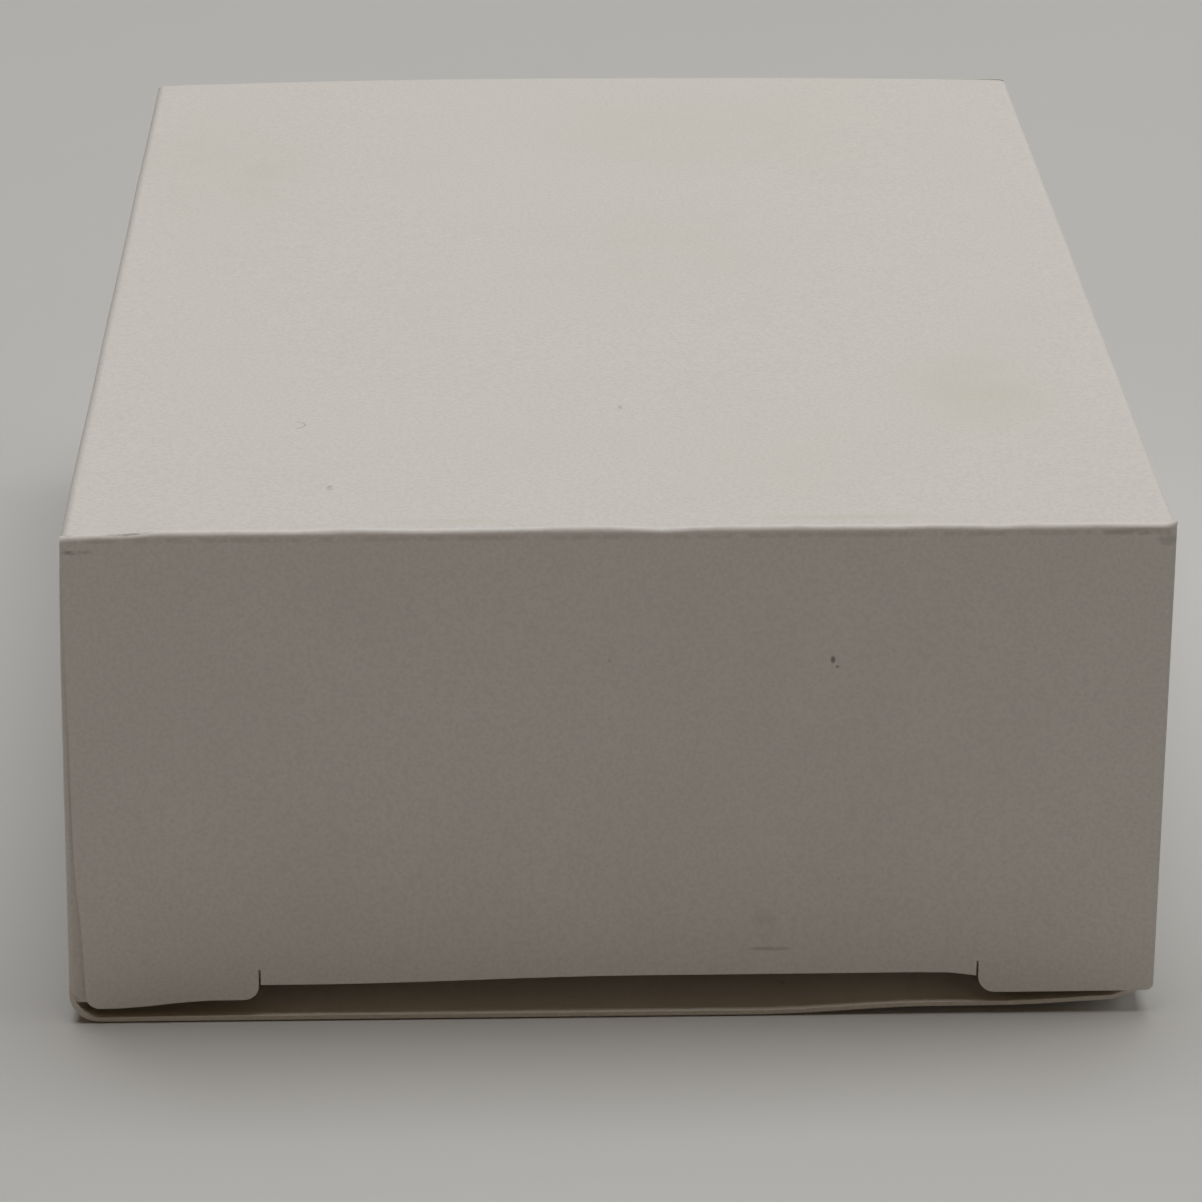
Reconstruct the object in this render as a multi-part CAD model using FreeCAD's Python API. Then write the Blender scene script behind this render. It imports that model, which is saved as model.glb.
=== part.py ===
import FreeCAD, Part
import math
import os

from FreeCAD import Vector

# A jewelry gift box: a slit-lock tuck-end carton of plain board with a padded
# insert. X runs across the box, Y from the front end to the rear end, Z up.
# The origin is the middle of the box's footprint, on the surface it stands on.

# Outside of the closed box
width = 101.6
depth = 152.4
height = 49.4

# Board and its folds
board = 0.46
fold_radius = 0.9
hinge_gap = 0.08
layer_gap = 0.15
glue_thickness = 0.08

# Closure panel and its shoulders
crease_lift = 3.4
shoulder_width = 16.9
shoulder_drop = 1.5
shoulder_radius = 1.45
slit_length = 1.55
slit_width = 0.2
closure_relief_top = 0.25
closure_relief_bottom = 0.9
closure_corner_radius = 1.6

# Tuck flap
tuck_length = 14.3
tuck_side_clearance = 1.1
tuck_side_taper = 1.2
tuck_corner_radius = 9.0
tuck_ear_setback = 1.5

# Dust flaps
dust_length = 38.0
dust_top_clearance = 1.7
dust_top_slope = 0.62
dust_bottom_clearance = 0.5
dust_bottom_slope = 0.1
dust_tip_radius = 5.0

# Glued side seam
bottom_edge_setback = 0.4
bottom_end_setback = 0.2
glue_flap_width = 14.0
glue_flap_end_slope = 0.45
glue_margin = 2.5
glue_end_margin = 9.0

# Insert that carries the jewelry
insert_side_clearance = 1.0
insert_end_clearance = 1.6
deck_level = 18.0
leg_end_clearance = 2.0
pad_margin = 1.5
pad_thickness = 10.0
pad_corner_radius = 3.0
pad_edge_round = 0.8
cover_thickness = 0.6
cover_overhang = 0.7
ring_slit_length = 24.0
ring_slit_width = 1.2
ring_slit_depth = 7.5
ring_slit_count = 3
ring_slit_pitch = 14.0
chain_slit_length = 7.0
chain_slit_width = 0.9
chain_slit_spacing = 52.0
chain_slit_angle = 45.0

half_width = width / 2
half_depth = depth / 2
half_board = board / 2

# Levels and planes that several pieces share
top_crease_z = height - half_board
tuck_bottom_z = board + crease_lift
tuck_crease_z = tuck_bottom_z + half_board
tuck_top_z = tuck_bottom_z + board
closure_y = half_depth - half_board
dust_y = closure_y - board - layer_gap
side_end_y = dust_y - half_board - hinge_gap
top_end_y = closure_y - half_board - hinge_gap
side_inner_x = half_width - board
seam_bottom_z = board + glue_thickness
seam_top_z = seam_bottom_z + board


def corner_arc(before, corner, after, radius):
    # Start, middle and end of the arc that rounds one corner of an outline.
    to_before = (before - corner).normalize()
    to_after = (after - corner).normalize()
    half_angle = to_before.getAngle(to_after) / 2
    reach = radius / math.tan(half_angle)
    inward = (to_before + to_after).normalize()
    centre = corner + inward * (radius / math.sin(half_angle))
    middle = centre - inward * radius
    return corner + to_before * reach, middle, corner + to_after * reach


def outline_face(corners):
    # Flat face from corners given as (x, y, radius), where radius 0 is sharp.
    points = [Vector(x, y, 0) for x, y, _ in corners]
    edges = []
    last_end = None
    first_start = None
    for i, (_, _, radius) in enumerate(corners):
        point = points[i]
        if radius > 0:
            start, middle, end = corner_arc(points[i - 1], point, points[(i + 1) % len(points)], radius)
        else:
            start = middle = end = point
        if last_end is not None:
            edges.append(Part.LineSegment(last_end, start).toShape())
        else:
            first_start = start
        if radius > 0:
            edges.append(Part.Arc(start, middle, end).toShape())
        last_end = end
    edges.append(Part.LineSegment(last_end, first_start).toShape())
    return Part.Face(Part.Wire(edges))


def flat_sheet(corners, thickness):
    # Sheet in the XY plane, centred on Z = 0.
    sheet = outline_face(corners).extrude(Vector(0, 0, thickness))
    sheet.translate(Vector(0, 0, -thickness / 2))
    return sheet


def block(x0, x1, y0, y1, z0, z1):
    return Part.makeBox(x1 - x0, y1 - y0, z1 - z0, Vector(x0, y0, z0))


def stand_up(sheet):
    # Turns a sheet from the XY plane into the XZ plane: its Y becomes Z.
    sheet.rotate(Vector(0, 0, 0), Vector(1, 0, 0), 90)
    return sheet


def mirror_x(shape):
    return shape.mirror(Vector(0, 0, 0), Vector(1, 0, 0))


def mirror_y(shape):
    return shape.mirror(Vector(0, 0, 0), Vector(0, 1, 0))


def one_solid(shape):
    # The shape's only solid, with split faces joined again.
    clean = shape.removeSplitter()
    if len(clean.Solids) != 1:
        raise ValueError("expected one solid, found %d" % len(clean.Solids))
    return clean.Solids[0]


def save(shape, name):
    shape.exportStep(os.path.join("parts", name + ".step"))


def quarter_fold(x_centre, z_centre, z_side, length):
    # Quarter of a tube along Y: the fold between a right-hand wall and a level sheet.
    outer = Part.makeCylinder(fold_radius, length, Vector(0, -length / 2, 0), Vector(0, 1, 0))
    inner = Part.makeCylinder(fold_radius - board, length, Vector(0, -length / 2, 0), Vector(0, 1, 0))
    z0 = 0 if z_side > 0 else -fold_radius
    quadrant = block(0, fold_radius, -length / 2, length / 2, z0, z0 + fold_radius)
    fold = outer.cut(inner).common(quadrant)
    fold.translate(Vector(x_centre, 0, z_centre))
    return fold


def folded_wall(outer_x, z_low, z_high, end_y, bottom_fold, top_fold):
    # Upright wall facing +X with a quarter fold at either end, where asked for.
    fold_x = outer_x - fold_radius
    z0 = z_low + (fold_radius if bottom_fold else 0)
    z1 = z_high - (fold_radius if top_fold else 0)
    wall = block(outer_x - board, outer_x, -end_y, end_y, z0, z1)
    if bottom_fold:
        wall = wall.fuse(quarter_fold(fold_x, z0, -1, 2 * end_y))
    if top_fold:
        wall = wall.fuse(quarter_fold(fold_x, z1, 1, 2 * end_y))
    return one_solid(wall)


def top_panel():
    fold_x = half_width - fold_radius
    return block(-fold_x, fold_x, -top_end_y, top_end_y, height - board, height)


def bottom_panel():
    end_y = half_depth - bottom_end_setback
    x0 = -(half_width - fold_radius)
    x1 = half_width - bottom_edge_setback
    return block(x0, x1, -end_y, end_y, 0, board)


def left_side_panel():
    return mirror_x(folded_wall(half_width, 0, height, side_end_y, True, True))


def right_side_panel():
    return folded_wall(half_width, seam_bottom_z, height, side_end_y, True, True)


def glue_flap():
    # Lies on the bottom panel, joined to the right side panel's lower fold.
    fold_x = half_width - fold_radius
    inner_x = fold_x - glue_flap_width
    inner_y = side_end_y - glue_flap_width * glue_flap_end_slope
    corners = [
        (fold_x, -side_end_y, 0),
        (fold_x, side_end_y, 0),
        (inner_x, inner_y, 0),
        (inner_x, -inner_y, 0),
    ]
    flap = flat_sheet(corners, board)
    flap.translate(Vector(0, 0, seam_bottom_z + half_board))
    return flap


def glue_line():
    x1 = half_width - fold_radius - glue_margin
    x0 = half_width - fold_radius - glue_flap_width + glue_margin
    end_y = side_end_y - glue_end_margin
    return block(x0, x1, -end_y, end_y, board, seam_bottom_z)


def closure_panel():
    # Front closure: hangs from the top crease and ends in two shoulders.
    shoulder_z = tuck_bottom_z - shoulder_drop
    window_z = tuck_crease_z + half_board + hinge_gap
    window_x = half_width - shoulder_width
    top_x = half_width - closure_relief_top
    bottom_x = half_width - closure_relief_bottom
    corners = [
        (-top_x, top_crease_z, 0),
        (-bottom_x, shoulder_z, closure_corner_radius),
        (-window_x, shoulder_z, shoulder_radius),
        (-window_x, window_z, 0),
        (window_x, window_z, 0),
        (window_x, shoulder_z, shoulder_radius),
        (bottom_x, shoulder_z, closure_corner_radius),
        (top_x, top_crease_z, 0),
    ]
    panel = stand_up(flat_sheet(corners, board))
    rounded_end = Part.makeCylinder(half_board, 2 * top_x, Vector(-top_x, 0, top_crease_z), Vector(1, 0, 0))
    panel = panel.fuse(rounded_end)
    for side in (-1, 1):
        slit_x = side * (window_x + slit_width / 2) - slit_width / 2
        panel = panel.cut(block(slit_x, slit_x + slit_width, -board, board, window_z - slit_width, window_z + slit_length))
    panel.translate(Vector(0, -closure_y, 0))
    return one_solid(panel)


def tuck_flap():
    # Front tuck flap: level, hinged on the closure panel's lower crease.
    crease_x = half_width - shoulder_width - slit_width
    root_x = half_width - tuck_side_clearance
    tip_x = root_x - tuck_side_taper
    corners = [
        (-crease_x, 0, 0),
        (crease_x, 0, 0),
        (crease_x, tuck_ear_setback, 0),
        (root_x, tuck_ear_setback, 0),
        (tip_x, tuck_length, tuck_corner_radius),
        (-tip_x, tuck_length, tuck_corner_radius),
        (-root_x, tuck_ear_setback, 0),
        (-crease_x, tuck_ear_setback, 0),
    ]
    flap = flat_sheet(corners, board)
    rounded_end = Part.makeCylinder(half_board, 2 * crease_x, Vector(-crease_x, 0, 0), Vector(1, 0, 0))
    flap = flap.fuse(rounded_end)
    flap.translate(Vector(0, -closure_y, tuck_crease_z))
    return one_solid(flap)


def dust_flap():
    # Front left dust flap: upright, hinged on the side panel's front edge.
    low_z = tuck_top_z + dust_bottom_clearance
    high_z = height - dust_top_clearance
    tip_high_z = high_z - dust_length * dust_top_slope
    tip_low_z = low_z + (dust_length - shoulder_width) * dust_bottom_slope
    corners = [
        (0, low_z, 0),
        (shoulder_width, low_z, 0),
        (dust_length, tip_low_z, dust_tip_radius),
        (dust_length, tip_high_z, dust_tip_radius),
        (0, high_z, 0),
    ]
    flap = stand_up(flat_sheet(corners, board))
    rounded_end = Part.makeCylinder(half_board, high_z - low_z, Vector(0, 0, low_z), Vector(0, 0, 1))
    flap = flap.fuse(rounded_end)
    flap.translate(Vector(-(half_width - half_board), -dust_y, 0))
    return one_solid(flap)


insert_outer_x = side_inner_x - insert_side_clearance
insert_end_y = side_end_y - insert_end_clearance
leg_end_y = closure_y - tuck_length - leg_end_clearance
deck_top_z = deck_level + board
pad_top_z = deck_top_z + pad_thickness


def insert_deck():
    fold_x = insert_outer_x - fold_radius
    return block(-fold_x, fold_x, -insert_end_y, insert_end_y, deck_level, deck_top_z)


def insert_left_leg():
    return mirror_x(folded_wall(insert_outer_x, board, deck_top_z, leg_end_y, False, True))


def insert_right_leg():
    return folded_wall(insert_outer_x, seam_top_z, deck_top_z, leg_end_y, False, True)


def slit_cutters(z0, z1):
    # Ring slits across the middle and a slanted chain slit near each corner.
    cutters = []
    first_y = -ring_slit_pitch * (ring_slit_count - 1) / 2
    half_slit = ring_slit_length / 2
    for i in range(ring_slit_count):
        slit_y = first_y + i * ring_slit_pitch
        y0 = slit_y - ring_slit_width / 2
        cutters.append(block(-half_slit, half_slit, y0, y0 + ring_slit_width, z0, z1))
    half_x = chain_slit_length / 2
    half_y = chain_slit_width / 2
    for side_x in (-1, 1):
        for side_y in (-1, 1):
            cutter = block(-half_x, half_x, -half_y, half_y, z0, z1)
            cutter.rotate(Vector(0, 0, 0), Vector(0, 0, 1), -side_x * side_y * chain_slit_angle)
            cutter.translate(Vector(side_x * chain_slit_spacing / 2, side_y * chain_slit_spacing, 0))
            cutters.append(cutter)
    return cutters


def rounded_pad(half_x, half_y, z0, z1):
    corners = [
        (-half_x, -half_y, pad_corner_radius),
        (half_x, -half_y, pad_corner_radius),
        (half_x, half_y, pad_corner_radius),
        (-half_x, half_y, pad_corner_radius),
    ]
    pad = flat_sheet(corners, z1 - z0)
    pad.translate(Vector(0, 0, (z0 + z1) / 2))
    return pad


pad_half_x = insert_outer_x - pad_margin
pad_half_y = insert_end_y - pad_margin


def foam_pad():
    pad = rounded_pad(pad_half_x, pad_half_y, deck_top_z, pad_top_z)
    rim = [edge for edge in pad.Edges if abs(edge.BoundBox.ZMin - pad_top_z) < hinge_gap]
    pad = pad.makeFillet(pad_edge_round, rim)
    for cutter in slit_cutters(pad_top_z - ring_slit_depth, pad_top_z + board):
        pad = pad.cut(cutter)
    return one_solid(pad)


def flocked_cover():
    half_x = pad_half_x - cover_overhang
    half_y = pad_half_y - cover_overhang
    cover = rounded_pad(half_x, half_y, pad_top_z, pad_top_z + cover_thickness)
    for cutter in slit_cutters(pad_top_z - board, pad_top_z + cover_thickness + board):
        cover = cover.cut(cutter)
    return one_solid(cover)


os.makedirs("parts", exist_ok=True)

save(top_panel(), "top_panel")
save(bottom_panel(), "bottom_panel")
save(left_side_panel(), "left_side_panel")
save(right_side_panel(), "right_side_panel")
save(glue_flap(), "glue_flap")
save(glue_line(), "glue_line")

front_pieces = {
    "closure_panel": closure_panel(),
    "tuck_flap": tuck_flap(),
    "left_dust_flap": dust_flap(),
    "right_dust_flap": mirror_x(dust_flap()),
}
for name, piece in front_pieces.items():
    save(piece, "front_" + name)
    save(mirror_y(piece), "rear_" + name)

save(insert_deck(), "insert_deck")
save(insert_left_leg(), "insert_left_leg")
save(insert_right_leg(), "insert_right_leg")
save(foam_pad(), "foam_pad")
save(flocked_cover(), "flocked_cover")
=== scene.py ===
import math

import bmesh
import bpy
from mathutils import Matrix, Vector, noise


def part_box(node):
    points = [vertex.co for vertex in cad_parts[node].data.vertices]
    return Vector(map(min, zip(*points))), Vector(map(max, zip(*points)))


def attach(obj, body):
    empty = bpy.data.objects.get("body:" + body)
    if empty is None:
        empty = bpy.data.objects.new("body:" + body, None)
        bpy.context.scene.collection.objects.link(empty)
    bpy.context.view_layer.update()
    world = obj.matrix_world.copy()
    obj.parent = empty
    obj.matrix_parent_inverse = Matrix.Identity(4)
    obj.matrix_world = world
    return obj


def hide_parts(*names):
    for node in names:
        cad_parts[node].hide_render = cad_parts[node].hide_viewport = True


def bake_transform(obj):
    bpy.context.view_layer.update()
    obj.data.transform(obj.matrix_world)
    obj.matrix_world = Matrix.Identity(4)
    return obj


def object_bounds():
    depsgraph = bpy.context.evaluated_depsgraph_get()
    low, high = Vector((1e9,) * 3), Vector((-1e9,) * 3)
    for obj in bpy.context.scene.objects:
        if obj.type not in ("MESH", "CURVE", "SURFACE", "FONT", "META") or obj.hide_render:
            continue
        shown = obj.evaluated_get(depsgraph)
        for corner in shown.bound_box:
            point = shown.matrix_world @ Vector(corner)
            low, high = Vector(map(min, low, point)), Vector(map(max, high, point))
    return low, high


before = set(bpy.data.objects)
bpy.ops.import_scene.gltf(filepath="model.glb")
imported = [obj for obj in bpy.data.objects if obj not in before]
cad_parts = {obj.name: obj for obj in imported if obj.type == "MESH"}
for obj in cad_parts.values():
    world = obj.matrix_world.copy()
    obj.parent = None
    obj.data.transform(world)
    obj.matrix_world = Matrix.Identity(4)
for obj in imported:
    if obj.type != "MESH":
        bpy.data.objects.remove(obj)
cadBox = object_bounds()

mm = 0.001  # lengths below are in millimetres unless they say otherwise


def nodeBox(name):
    low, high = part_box(name)
    return Vector(low) / mm, Vector(high) / mm


topLow, topHigh = nodeBox("top_panel")
bottomHigh = nodeBox("bottom_panel")[1]
wallHigh = nodeBox("left_side_panel")[1]
glueLow, glueHigh = nodeBox("glue_flap")
closureLow = nodeBox("front_closure_panel")[0]
tuckLow, tuckHigh = nodeBox("front_tuck_flap")
dustLow, dustHigh = nodeBox("front_left_dust_flap")
deckHigh = nodeBox("insert_deck")[1]
legLow, legHigh = nodeBox("insert_left_leg")
padLow, padHigh = nodeBox("foam_pad")
coverLow, coverHigh = nodeBox("flocked_cover")

box = {
    "halfWidth": cadBox[1].x / mm,
    "halfDepth": cadBox[1].y / mm,
    "height": cadBox[1].z / mm,
    "board": topHigh.z - topLow.z,
    "topEnd": topHigh.y,  # where the top panel meets a closure's fold
    "wallEnd": wallHigh.y,  # where a side wall meets a dust flap's fold
    "bottomEnd": bottomHigh.y,
}


class Wire:
    # one output socket that can be used in sums
    def __init__(self, recipe, socket):
        self.recipe = recipe
        self.socket = socket

    def __add__(self, other):
        return self.recipe.sum("ADD", self, other)

    def __radd__(self, other):
        return self.recipe.sum("ADD", other, self)

    def __sub__(self, other):
        return self.recipe.sum("SUBTRACT", self, other)

    def __rsub__(self, other):
        return self.recipe.sum("SUBTRACT", other, self)

    def __mul__(self, other):
        return self.recipe.sum("MULTIPLY", self, other)

    def __rmul__(self, other):
        return self.recipe.sum("MULTIPLY", other, self)

    def __pow__(self, other):
        return self.recipe.sum("POWER", self, other)


class Recipe:
    # a material and the few calls that build its nodes
    def __init__(self, name):
        self.material = bpy.data.materials.new(name)
        self.material.use_nodes = True
        self.tree = self.material.node_tree
        self.tree.nodes.clear()

    def node(self, kind, settings=None, inputs=None, output=0):
        made = self.tree.nodes.new(kind)
        for key, value in (settings or {}).items():
            setattr(made, key, value)
        for key, value in (inputs or {}).items():
            if isinstance(value, Wire):
                self.tree.links.new(value.socket, made.inputs[key])
            else:
                made.inputs[key].default_value = value
        return Wire(self, made.outputs[output])

    def restPlace(self):
        # where a point of the board lies with the box shut
        inputs = {"attribute_name": "restPlace", "attribute_type": "GEOMETRY"}
        return self.node("ShaderNodeAttribute", inputs, output="Vector")

    def sum(self, operation, a, b):
        return self.node("ShaderNodeMath", {"operation": operation}, {0: a, 1: b})

    def band(self, value, low, high):
        # 0 below low, 1 above high, smooth between
        return self.node(
            "ShaderNodeMapRange",
            {"interpolation_type": "SMOOTHSTEP"},
            {"Value": value, "From Min": low, "From Max": high, "To Min": 0.0, "To Max": 1.0},
        )

    def tint(self, mask, a, b):
        colours = [(*c, 1) if isinstance(c, tuple) else c for c in (a, b)]
        inputs = {"Factor": mask, 6: colours[0], 7: colours[1]}
        return self.node("ShaderNodeMix", {"data_type": "RGBA"}, inputs, output=2)

    def cloud(self, place, scale, detail=3.0, rough=0.5, twist=0.0):
        inputs = {"Vector": place, "Scale": scale, "Detail": detail}
        inputs.update({"Roughness": rough, "Distortion": twist})
        return self.node("ShaderNodeTexNoise", None, inputs)

    def cells(self, place, scale):
        inputs = {"Vector": place, "Scale": scale}
        return self.node("ShaderNodeTexVoronoi", None, inputs, output="Distance")

    def stretched(self, place, scale):
        return self.node("ShaderNodeMapping", None, {"Vector": place, "Scale": scale})

    def finish(self, colour, roughness, height, bump, settings):
        # the surface itself: colour, roughness and a relief in metres
        normal = self.node("ShaderNodeBump", None, {"Height": height, "Distance": bump})
        inputs = {"Base Color": colour, "Roughness": roughness, "Normal": normal}
        inputs.update(settings)
        surface = self.node("ShaderNodeBsdfPrincipled", None, inputs)
        out = self.tree.nodes.new("ShaderNodeOutputMaterial")
        self.tree.links.new(surface.socket, out.inputs["Surface"])
        return self.material


coatedLook = {
    "white": (0.81, 0.79, 0.755),
    "stain": (0.775, 0.755, 0.695),
    "grey": (0.66, 0.645, 0.62),
    # stain colour, also used for the painted shade of the groove just behind the front crease
    "stainAndGrooveShade": (0.70, 0.685, 0.60),
    "rub": (0.86, 0.845, 0.815),
    # painted highlight on the fold apex, partly rubbed coat
    "creaseHighlightAndRub": (0.90, 0.885, 0.86),
    # painted shade under the top folds
    "creaseUnderShade": (0.56, 0.54, 0.46),
    "stainSize": 22.0,
    "mottleSize": 75.0,
    "grainSize": 2600.0,
    "fibreSize": 900.0,
    "roughness": 0.62,
    "relief": 0.00006,
}

# small marks: x, y, z of the middle, the half lengths along x, y and z, and how dark it is; frontShade
# among them is painted shade
marks = {
    "creaseCrack": ((-44.6, -75.85, 49.3), (2.4, 0.2, 0.9), 0.6),
    "cornerScuff": ((-50.2, -75.6, 49.1), (0.75, 0.3, 0.6), 0.35),
    "cornerSmudge": ((-49.3, -76.2, 47.6), (1.5, 0.6, 0.3), 0.5),
    "rightCornerBand": ((47.6, -76.2, 48.75), (4.6, 0.5, 0.42), 0.16),
    "rightCornerDirt": ((50.0, -76.2, 47.9), (1.3, 0.6, 0.62), 0.2),
    "frontSpeck": ((19.6, -76.3, 36.5), (0.26, 0.6, 0.42), 0.7),
    "frontSpeckTail": ((20.0, -76.3, 35.8), (0.2, 0.6, 0.2), 0.5),
    "frontSmudge": ((14.2, -76.3, 7.2), (2.4, 0.6, 0.28), 0.28),
    "frontShade": ((13.6, -76.3, 9.6), (1.7, 0.6, 1.9), 0.09),
    "frontDot": ((-0.9, -76.3, 36.6), (0.22, 0.6, 0.2), 0.25),
    "lowDot": ((20.5, -76.3, 14.4), (0.2, 0.6, 0.2), 0.3),
    "topSpeckLeft": ((-26.6, -64.9, 49.6), (0.34, 0.65, 2.0), 1.1),
    "topSpeckMiddle": ((1.0, -43.4, 49.6), (0.25, 0.55, 2.0), 0.35),
}

# handling stains on the lid, and painted shade of the score groove just behind the front crease (the last
# two): x, y of the middle, half lengths along x and y, strength
stainAndGrooveShadeSpots = {
    "backLeft": ((-41, 38), (13, 30), 0.45),
    "backMiddle": ((12, 50), (20, 20), 0.35),
    "right": ((37, -38), (11, 20), 0.45),
    "middle": ((8, 5), (18, 24), 0.25),
    # painted shade: the score groove's shade just behind the front crease, in the stain colour
    "crease": ((-18, -74.2), (9, 1.0), 0.8),
    "creaseRightGrooveShade": ((22, -73.8), (14, 0.9), 0.6),
}
hair = {"middle": (-30.4, -47.6), "radius": 0.95, "wide": 0.13, "dark": 0.4}


def nearMark(recipe, place, middle, halfSize, core=0.45):
    # 1 on the mark, falling to 0 at its edge
    moved = recipe.node(
        "ShaderNodeVectorMath", {"operation": "SUBTRACT"}, {0: place, 1: tuple(c * mm for c in middle)}
    )
    scaled = recipe.node(
        "ShaderNodeVectorMath", {"operation": "DIVIDE"}, {0: moved, 1: tuple(c * mm for c in halfSize)}
    )
    distance = recipe.node("ShaderNodeVectorMath", {"operation": "LENGTH"}, {0: scaled}, output="Value")
    return 1 - recipe.band(distance, core, 1.15)


def coatedBoard():
    # outside of the carton: clay coat, faint stains and handling marks, with painted shade of the groove
    # behind the front crease, painted highlight and painted shade along the top folds, and a patch of
    # painted shade on the front
    look = coatedLook
    recipe = Recipe("coatedBoard")
    place = recipe.restPlace()
    wobble = recipe.cloud(place, 900.0, 2.0)
    stains = recipe.band(recipe.cloud(place, look["stainSize"], 4.0, 0.55, 0.6), 0.47, 0.72)
    mottle = recipe.cloud(place, look["mottleSize"], 5.0, 0.6)
    grain = recipe.cloud(place, look["grainSize"], 2.0, 0.6)
    fibres = recipe.cloud(recipe.stretched(place, (1.0, 0.35, 1.0)), look["fibreSize"], 4.0, 0.65)
    colour = recipe.tint(stains * 0.5, look["white"], look["stain"])
    colour = recipe.tint(recipe.band(mottle, 0.35, 0.75) * 0.14, colour, look["grey"])
    colour = recipe.tint(recipe.band(grain, 0.35, 0.7) * 0.45, colour, look["grey"])
    colour = recipe.tint(recipe.band(fibres, 0.55, 0.75) * 0.10, colour, look["rub"])
    patchy = recipe.band(recipe.cloud(place, 90.0, 4.0, 0.6), 0.38, 0.66)
    # tints the lid with the stains and with the painted groove shade behind the front crease
    for middle, halfSize, strength in stainAndGrooveShadeSpots.values():
        spot = nearMark(recipe, place, (*middle, box["height"] + 0.2), (*halfSize, 4.0), 0.1)
        colour = recipe.tint(spot * (0.35 + patchy * 0.65) * strength, colour, look["stainAndGrooveShade"])
    axes = recipe.node("ShaderNodeSeparateXYZ", None, {"Vector": place})
    across, along, high = [Wire(recipe, out) for out in axes.socket.node.outputs]
    reach = recipe.node("ShaderNodeMath", {"operation": "ABSOLUTE"}, {0: along})
    broken = recipe.band(wobble, 0.3, 0.62)
    end = box["halfDepth"] * mm
    lid = box["height"] * mm
    # painted highlight along the apex of the top folds, front and rear, with patchy rubbing on top of it
    ridge = recipe.band(reach, end - 0.7 * mm, end - 0.3 * mm)
    ridge = ridge * recipe.band(high, lid - 0.4 * mm, lid - 0.2 * mm)
    # painted shade: a patchy dark band on the end faces just below the top folds
    under = recipe.band(reach, end - 0.3 * mm, end - 0.1 * mm)
    under = under * recipe.band(high, lid - 1.1 * mm, lid - 0.8 * mm)
    under = under * (1 - recipe.band(high, lid - 0.6 * mm, lid - 0.4 * mm))
    colour = recipe.tint(ridge * (0.45 + broken * 0.45), colour, look["creaseHighlightAndRub"])
    colour = recipe.tint(under * (broken * 0.45), colour, look["creaseUnderShade"])
    # one mask for the dark marks and the hair, which also holds the painted shade of frontShade
    dirtAndShade = None
    for middle, halfSize, dark in marks.values():
        spot = nearMark(recipe, place, middle, halfSize) * (recipe.band(wobble, 0.25, 0.6) * dark)
        dirtAndShade = spot if dirtAndShade is None else dirtAndShade + spot
    fromX = across - hair["middle"][0] * mm
    fromY = along - hair["middle"][1] * mm
    ring = (fromX * fromX + fromY * fromY) ** 0.5
    gap = recipe.node("ShaderNodeMath", {"operation": "ABSOLUTE"}, {0: ring - hair["radius"] * mm})
    curl = (1 - recipe.band(gap, 0.0, hair["wide"] * mm)) * recipe.band(fromX, 0.0, 0.0003)
    dirtAndShade = dirtAndShade + curl * hair["dark"]
    colour = recipe.tint(dirtAndShade, colour, (0.10, 0.075, 0.055))
    roughness = look["roughness"] + recipe.band(mottle, 0.3, 0.7) * 0.08
    roughness = roughness + recipe.band(stains, 0.0, 1.0) * 0.05
    height = grain * 0.35 + fibres * 0.5 + mottle * 0.6
    settings = {"Specular IOR Level": 0.35, "Sheen Weight": 0.03}
    return recipe.finish(colour, roughness, height, look["relief"], settings)


def plainBoard(name, white, shade, relief):
    # uncoated board: soft mat of fibres, warmer and rougher than the coat
    recipe = Recipe(name)
    place = recipe.restPlace()
    mat = recipe.cloud(recipe.stretched(place, (1.0, 0.4, 1.0)), 1500.0, 5.0, 0.7, 0.4)
    flecks = recipe.cloud(place, 420.0, 3.0, 0.6)
    blotch = recipe.cloud(place, 60.0, 3.0)
    colour = recipe.tint(recipe.band(mat, 0.35, 0.7) * 0.45, white, shade)
    colour = recipe.tint(recipe.band(blotch, 0.4, 0.7) * 0.25, colour, shade)
    colour = recipe.tint(recipe.band(flecks, 0.68, 0.74) * 0.25, colour, (0.42, 0.33, 0.22))
    roughness = 0.84 + recipe.band(mat, 0.3, 0.7) * 0.1
    return recipe.finish(colour, roughness, mat + blotch * 0.4, relief, {"Specular IOR Level": 0.2})


def cutEdge():
    # die-cut edge: plies and torn fibre ends
    recipe = Recipe("cutEdge")
    place = recipe.restPlace()
    plies = recipe.cloud(place, 5200.0, 2.0, 0.5)
    torn = recipe.cloud(place, 1300.0, 4.0, 0.7)
    layers = recipe.band(plies, 0.35, 0.65) * 0.5
    colour = recipe.tint(layers, (0.74, 0.70, 0.635), (0.58, 0.535, 0.46))
    colour = recipe.tint(recipe.band(torn, 0.45, 0.7) * 0.4, colour, (0.78, 0.75, 0.70))
    return recipe.finish(colour, 0.85 + torn * 0.12, plies + torn, 0.00004, {"Specular IOR Level": 0.2})


def foamFinish():
    # open cells a few tenths of a millimetre across
    recipe = Recipe("foamFinish")
    place = recipe.node("ShaderNodeTexCoord", output="Object")
    cells = recipe.cells(place, 2600.0)
    bigCells = recipe.cells(place, 1100.0)
    cloud = recipe.cloud(place, 45.0, 3.0)
    # painted shade: the cell hollows are coloured darker, following the relief
    colour = recipe.tint(recipe.band(cells, 0.05, 0.4) * 0.5, (0.74, 0.735, 0.71), (0.86, 0.86, 0.84))
    colour = recipe.tint(recipe.band(cloud, 0.4, 0.75) * 0.3, colour, (0.82, 0.79, 0.70))
    height = recipe.band(cells, 0.0, 0.5) + recipe.band(bigCells, 0.0, 0.5) * 0.7
    roughness = 0.93 - recipe.band(cloud, 0.3, 0.7) * 0.06
    return recipe.finish(colour, roughness, height, 0.00015, {"Specular IOR Level": 0.15})


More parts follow.
